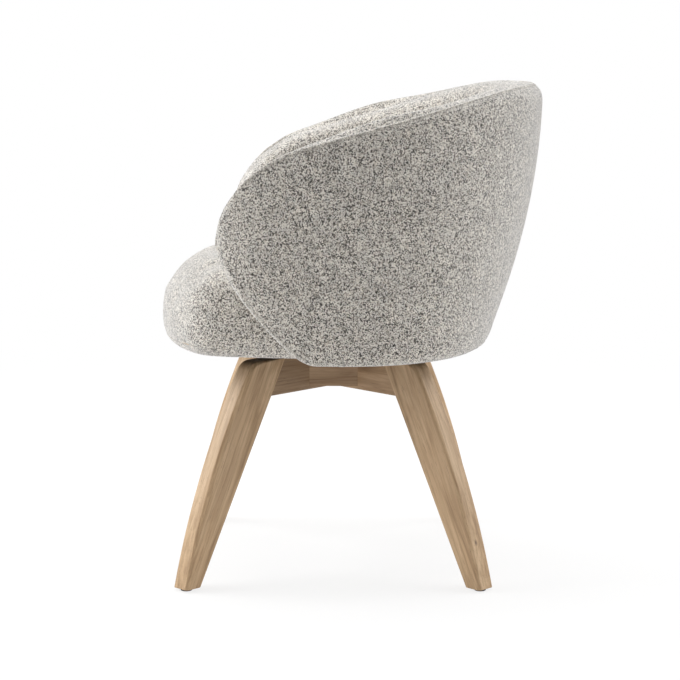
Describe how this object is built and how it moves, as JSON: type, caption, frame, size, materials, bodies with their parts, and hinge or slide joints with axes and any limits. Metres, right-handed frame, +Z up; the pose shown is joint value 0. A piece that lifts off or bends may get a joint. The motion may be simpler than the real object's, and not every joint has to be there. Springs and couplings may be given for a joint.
{
  "type": "swivel armchair",
  "caption": "Upholstered tub armchair with a wrap-round back and a domed seat that turns on a ball-bearing plate over a splayed oak leg frame.",
  "frame": {"origin": "on the floor under the middle of the chair's box", "axes": "+Z up, the chair faces -Y, +X to the sitter's left"},
  "size_m": [0.599, 0.6137, 0.779],
  "materials": {
    "oak": "matt oiled oak, straight grain",
    "upholstery": "cream and grey flecked boucle weave",
    "foam": "open-cell seat foam",
    "plywood": "raw birch plywood",
    "zinc_steel": "zinc-plated pressed steel",
    "bearing_steel": "polished bearing steel",
    "nylon": "natural nylon",
    "dust_cloth": "black spun-bonded dust cloth",
    "glide_plastic": "black moulded plastic"
  },
  "bodies": {
    "leg_frame": {"leg_rear_left": "oak", "leg_rear_right": "oak", "leg_front_right": "oak", "leg_front_left": "oak", "cross_beam_lower": "oak", "cross_beam_upper": "oak", "corner_block_front": "oak", "corner_block_rear": "oak", "corner_block_left": "oak", "corner_block_right": "oak", "leg_dowels": "oak", "glide_rear_left": "glide_plastic", "glide_rear_right": "glide_plastic", "glide_front_right": "glide_plastic", "glide_front_left": "glide_plastic", "swivel_lower_plate": "zinc_steel", "lower_race": "bearing_steel", "pivot_pin": "zinc_steel", "pivot_washer": "zinc_steel", "pivot_nut": "zinc_steel", "base_plate_screws": "zinc_steel"},
    "ball_cage": {"bearing_cage": "nylon", "bearing_balls": "bearing_steel"},
    "seat_shell": {"swivel_upper_plate": "zinc_steel", "upper_race": "bearing_steel", "swivel_stop_pin": "zinc_steel", "upper_plate_bolts": "zinc_steel", "board_t_nuts": "zinc_steel", "back_frame_screws": "zinc_steel", "pivot_bush": "nylon", "seat_board": "plywood", "back_frame": "plywood", "seat_foam_firm": "foam", "seat_foam_soft": "foam", "back_foam_inner": "foam", "back_foam_outer": "foam", "seat_cover": "upholstery", "back_cover_inner": "upholstery", "back_cover_outer": "upholstery", "dust_cover": "dust_cloth"}
  },
  "joints": [
    {"name": "swivel", "type": "hinge", "parent": "leg_frame", "child": "seat_shell", "pos_m": [0, -0.029, 0.353], "axis": [0, 0, 1], "range_deg": [-90, 90]},
    {"name": "cage_turn", "type": "hinge", "parent": "leg_frame", "child": "ball_cage", "pos_m": [0, -0.029, 0.353], "axis": [0, 0, 1], "range_deg": [-45, 45]}
  ],
  "couplings": [
    {"joint": "cage_turn", "follows": "swivel", "ratio": 0.5}
  ]
}
